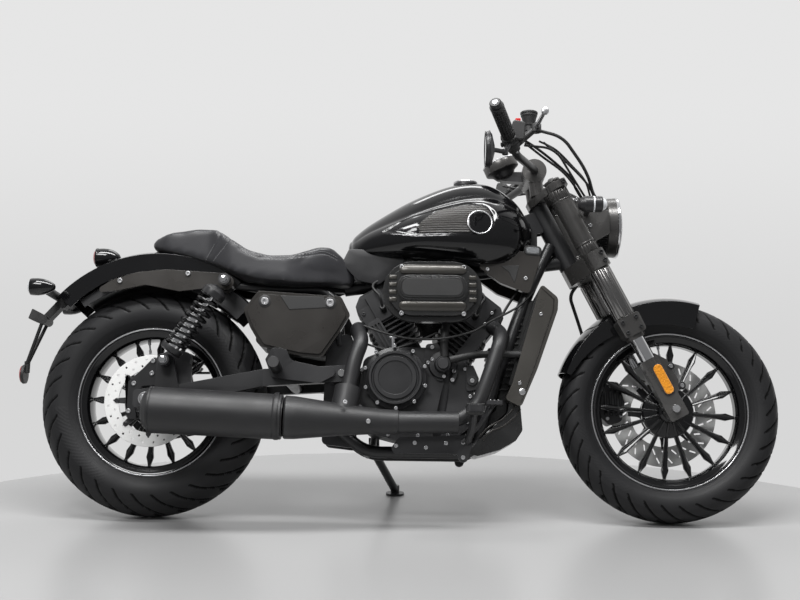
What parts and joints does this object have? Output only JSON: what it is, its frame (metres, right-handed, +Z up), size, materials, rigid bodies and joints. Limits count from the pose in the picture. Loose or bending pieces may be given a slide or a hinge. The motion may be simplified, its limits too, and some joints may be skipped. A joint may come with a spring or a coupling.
{
  "type": "cruiser motorcycle",
  "caption": "Full-size black V-twin cruiser motorcycle leaning on its side stand, with cast wheels, teardrop tank, low seat and one side muffler.",
  "frame": {"origin": "middle of the bounding box at floor level, under the parked machine", "axes": "+X forward along the machine, +Y to its left, the side of the side stand, +Z up from the floor it is parked on"},
  "size_m": [2.1019, 0.9246, 1.1305],
  "materials": {
    "bare_steel": "brushed",
    "black_plastic": "matte",
    "bronze_grey": "satin",
    "engine_black": "satin",
    "exhaust_black": "matte",
    "fork_grey": "satin",
    "gloss_black": "gloss",
    "lens_clear": "gloss",
    "radiator_core": "matte",
    "satin_black": "satin",
    "soft_rubber": "matte",
    "tyre_rubber": "matte",
    "vinyl": "satin"
  },
  "bodies": {
    "chassis": {"frame": "satin_black", "rear_struts": "bronze_grey", "rear_fender": "gloss_black", "seat": "vinyl", "fuel_tank": "gloss_black", "filler_cap": "satin_black", "neck_covers": "bronze_grey", "radiator": "radiator_core", "radiator_cover": "bronze_grey", "belly_pan": "bronze_grey", "crankcase": "engine_black", "cylinders": "engine_black", "engine_covers": "engine_black", "drive_cover": "black_plastic", "air_cleaner": "bronze_grey", "battery_box": "black_plastic", "side_covers": "bronze_grey", "exhaust_pipes": "exhaust_black", "muffler": "exhaust_black", "swingarm": "satin_black", "pivot_bolt": "bare_steel", "rear_axle": "bare_steel", "shock_springs": "satin_black", "shock_dampers": "bare_steel", "rear_caliper": "satin_black", "drive_belt": "soft_rubber", "front_pulley": "bare_steel", "tail_lamp": "satin_black", "plate_bracket": "black_plastic", "rear_signals": "satin_black", "passenger_pegs": "satin_black", "foot_controls": "satin_black", "coolant_hoses": "soft_rubber"},
    "steering": {"fork_legs": "fork_grey", "triple_clamps": "fork_grey", "risers": "fork_grey", "handlebar": "satin_black", "grips": "soft_rubber", "hand_controls": "black_plastic", "mirrors": "satin_black", "headlamp": "fork_grey", "headlamp_lens": "lens_clear", "front_signals": "satin_black", "speedometer": "satin_black", "front_fender": "gloss_black", "front_caliper": "satin_black", "front_axle": "bare_steel", "cables": "soft_rubber", "brake_hose": "soft_rubber"},
    "front_wheel": {"front_wheel": "gloss_black", "front_tyre": "tyre_rubber", "front_disc": "bare_steel"},
    "rear_wheel": {"rear_wheel": "gloss_black", "rear_tyre": "tyre_rubber", "rear_disc": "bare_steel", "rear_pulley": "satin_black"},
    "side_stand": {"side_stand": "satin_black"}
  },
  "joints": [
    {"name": "steering", "type": "hinge", "parent": "chassis", "child": "steering", "pos_m": [0.49485, -0.0416, 0.66643], "axis": [-0.4586, 0.215, 0.8622], "range_deg": [-35, 35]},
    {"name": "front_wheel_spin", "type": "hinge", "parent": "steering", "child": "front_wheel", "pos_m": [0.74796, -0.13387, 0.29638], "axis": [0, 0.9703, -0.2419], "continuous": true},
    {"name": "rear_wheel_spin", "type": "hinge", "parent": "chassis", "child": "rear_wheel", "pos_m": [-0.67404, -0.13169, 0.30511], "axis": [0, 0.9703, -0.2419], "continuous": true},
    {"name": "side_stand_fold", "type": "hinge", "parent": "chassis", "child": "side_stand", "pos_m": [-0.06904, -0.029, 0.15893], "axis": [0.0972, 0.7237, 0.6832], "range_deg": [0, 92]}
  ]
}
